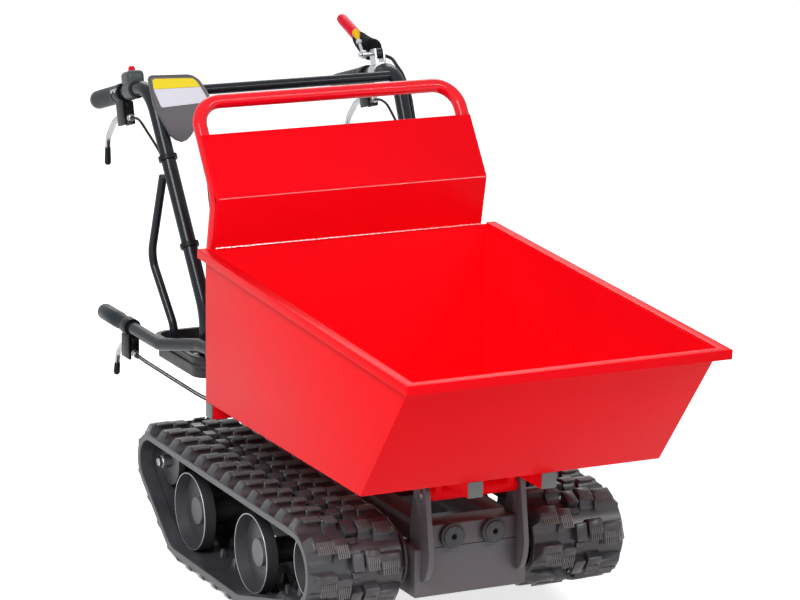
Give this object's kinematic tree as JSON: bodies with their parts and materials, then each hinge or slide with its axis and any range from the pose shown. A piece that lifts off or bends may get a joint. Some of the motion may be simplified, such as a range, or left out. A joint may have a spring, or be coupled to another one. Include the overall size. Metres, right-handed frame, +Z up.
{
  "type": "tracked power carrier",
  "caption": "Walk-behind tracked power carrier with a red tipping bin, hoop, rubber tracks, engine deck and handlebar controls.",
  "frame": {"origin": "on the ground under the middle of the machine's box", "axes": "+Y points to the operator at the rear, the bin's nose faces -Y, +Z is up"},
  "size_m": [0.614, 1.4658, 0.933],
  "materials": {
    "track_rubber": "moulded",
    "red_paint": "gloss",
    "dark_paint": "satin",
    "black_paint": "satin",
    "grip_rubber": "ribbed",
    "cable_sheath": "smooth",
    "zinc_steel": "zinc plated",
    "cast_alloy": "as cast",
    "cast_iron": "as cast",
    "cap_plastic": "moulded",
    "black_plastic": "moulded",
    "signal_red": "moulded",
    "belt_rubber": "smooth"
  },
  "bodies": {
    "chassis": {"track_right": "track_rubber", "track_left": "track_rubber", "rubber_buffers": "track_rubber", "track_frames": "dark_paint", "chassis_frame": "dark_paint", "front_beam": "dark_paint", "hinge_plates": "dark_paint", "gear_bracket": "dark_paint", "engine_deck": "dark_paint", "dash_panel": "dark_paint", "roller_axles": "zinc_steel", "hinge_pin": "zinc_steel", "drive_bracket": "zinc_steel", "frame_bolts": "zinc_steel", "muffler": "zinc_steel", "gearbox": "cast_alloy", "engine_block": "cast_alloy", "engine_cylinder": "cast_alloy", "drive_belt": "belt_rubber", "recoil_cover": "red_paint", "air_cleaner": "black_plastic", "lever_brackets": "black_plastic", "cable_clamps": "black_plastic", "fuel_tank": "black_plastic", "switch_box": "cap_plastic", "handlebar": "black_paint", "handle_braces": "black_paint", "hand_grips": "grip_rubber", "control_cables": "cable_sheath"},
    "sprocket_right": {"sprocket_right": "cast_iron"},
    "sprocket_left": {"sprocket_left": "cast_iron"},
    "idler_right": {"idler_right": "dark_paint"},
    "idler_left": {"idler_left": "dark_paint"},
    "front_roller_right": {"front_roller_right": "dark_paint"},
    "front_roller_left": {"front_roller_left": "dark_paint"},
    "rear_roller_right": {"rear_roller_right": "dark_paint"},
    "rear_roller_left": {"rear_roller_left": "dark_paint"},
    "gear_lever": {"gear_lever": "zinc_steel"},
    "gearbox_pulley": {"gearbox_pulley": "cast_iron"},
    "engine_pulley": {"engine_pulley": "cast_iron"},
    "recoil_handle": {"recoil_handle": "black_plastic"},
    "fuel_cap": {"fuel_cap": "black_plastic"},
    "tip_lever": {"tip_lever": "zinc_steel"},
    "tip_latch": {"tip_latch": "zinc_steel"},
    "steer_lever_right": {"steer_lever_right": "zinc_steel"},
    "steer_lever_left": {"steer_lever_left": "zinc_steel"},
    "throttle_lever": {"throttle_lever": "zinc_steel"},
    "stop_switch": {"stop_switch": "signal_red"},
    "drive_lever": {"drive_lever": "black_paint", "drive_grip": "signal_red"},
    "bin": {"bin_tub": "red_paint", "bin_rim": "red_paint", "bin_back_plate": "red_paint", "bin_hoop": "red_paint", "bin_underframe": "red_paint", "tube_caps": "cap_plastic", "tip_handle": "black_paint", "tip_grip": "grip_rubber", "tip_bracket": "black_plastic", "latch_cables": "cable_sheath"}
  },
  "joints": [
    {"name": "bin_tip", "type": "hinge", "parent": "chassis", "child": "bin", "pos_m": [0, -0.3715, 0.277], "axis": [1, 0, 0], "range_deg": [0, 70]},
    {"name": "tip_lever_squeeze", "type": "hinge", "parent": "bin", "child": "tip_lever", "pos_m": [-0.289, 0.4885, 0.361], "axis": [1, 0, 0], "range_deg": [0, 20], "stiffness_Nm_per_rad": 2},
    {"name": "tip_latch_release", "type": "hinge", "parent": "bin", "child": "tip_latch", "pos_m": [0, 0.1145, 0.298], "axis": [1, 0, 0], "range_deg": [-16, 0]},
    {"name": "steer_right", "type": "hinge", "parent": "chassis", "child": "steer_lever_right", "pos_m": [-0.255, 0.59116, 0.78794], "axis": [1, 0, 0], "range_deg": [0, 20], "stiffness_Nm_per_rad": 2},
    {"name": "steer_left", "type": "hinge", "parent": "chassis", "child": "steer_lever_left", "pos_m": [0.255, 0.59116, 0.78794], "axis": [1, 0, 0], "range_deg": [0, 20], "stiffness_Nm_per_rad": 2},
    {"name": "drive_engage", "type": "hinge", "parent": "chassis", "child": "drive_lever", "pos_m": [0.255, 0.5488, 0.87613], "axis": [1, 0, 0], "range_deg": [-13, 0], "stiffness_Nm_per_rad": 4, "springref_deg": 8.59},
    {"name": "throttle_turn", "type": "hinge", "parent": "chassis", "child": "throttle_lever", "pos_m": [0.225, 0.5488, 0.87613], "axis": [1, 0, 0], "range_deg": [-30, 20]},
    {"name": "stop_press", "type": "slide", "parent": "chassis", "child": "stop_switch", "axis": [0, -0.2622, -0.965], "range_m": [0, 0.003], "stiffness_N_per_m": 800},
    {"name": "gear_shift", "type": "hinge", "parent": "chassis", "child": "gear_lever", "pos_m": [0.04, 0.4675, 0.366], "axis": [1, 0, 0], "range_deg": [-12, 12]},
    {"name": "recoil_pull", "type": "slide", "parent": "chassis", "child": "recoil_handle", "axis": [0, 1, 0], "range_m": [0, 0.3], "stiffness_N_per_m": 40},
    {"name": "fuel_cap_turn", "type": "hinge", "parent": "chassis", "child": "fuel_cap", "pos_m": [0.05, 0.3515, 0.63], "axis": [0, 0, 1], "range_deg": [0, 90]},
    {"name": "engine_spin", "type": "hinge", "parent": "chassis", "child": "engine_pulley", "pos_m": [-0.125, 0.3315, 0.453], "axis": [1, 0, 0], "continuous": true},
    {"name": "gearbox_spin", "type": "hinge", "parent": "chassis", "child": "gearbox_pulley", "pos_m": [-0.125, 0.3525, 0.298], "axis": [1, 0, 0], "continuous": true},
    {"name": "sprocket_right_spin", "type": "hinge", "parent": "chassis", "child": "sprocket_right", "pos_m": [-0.217, 0.3525, 0.165], "axis": [1, 0, 0], "continuous": true},
    {"name": "idler_right_spin", "type": "hinge", "parent": "chassis", "child": "idler_right", "pos_m": [-0.217, -0.3045, 0.15], "axis": [1, 0, 0], "continuous": true},
    {"name": "front_roller_right_spin", "type": "hinge", "parent": "chassis", "child": "front_roller_right", "pos_m": [-0.217, -0.0585, 0.1025], "axis": [1, 0, 0], "continuous": true},
    {"name": "rear_roller_right_spin", "type": "hinge", "parent": "chassis", "child": "rear_roller_right", "pos_m": [-0.217, 0.2235, 0.1025], "axis": [1, 0, 0], "continuous": true},
    {"name": "sprocket_left_spin", "type": "hinge", "parent": "chassis", "child": "sprocket_left", "pos_m": [0.217, 0.3525, 0.165], "axis": [1, 0, 0], "continuous": true},
    {"name": "idler_left_spin", "type": "hinge", "parent": "chassis", "child": "idler_left", "pos_m": [0.217, -0.3045, 0.15], "axis": [1, 0, 0], "continuous": true},
    {"name": "front_roller_left_spin", "type": "hinge", "parent": "chassis", "child": "front_roller_left", "pos_m": [0.217, -0.0585, 0.1025], "axis": [1, 0, 0], "continuous": true},
    {"name": "rear_roller_left_spin", "type": "hinge", "parent": "chassis", "child": "rear_roller_left", "pos_m": [0.217, 0.2235, 0.1025], "axis": [1, 0, 0], "continuous": true}
  ],
  "couplings": [
    {"joint": "tip_latch_release", "follows": "tip_lever_squeeze", "ratio": -0.8},
    {"joint": "engine_spin", "follows": "gearbox_spin", "ratio": 1.1177},
    {"joint": "sprocket_right_spin", "follows": "front_roller_right_spin", "ratio": 1.5978},
    {"joint": "idler_right_spin", "follows": "front_roller_right_spin", "ratio": 1.2458},
    {"joint": "rear_roller_right_spin", "follows": "front_roller_right_spin", "ratio": 1},
    {"joint": "sprocket_left_spin", "follows": "front_roller_left_spin", "ratio": 1.5978},
    {"joint": "idler_left_spin", "follows": "front_roller_left_spin", "ratio": 1.2458},
    {"joint": "rear_roller_left_spin", "follows": "front_roller_left_spin", "ratio": 1}
  ]
}
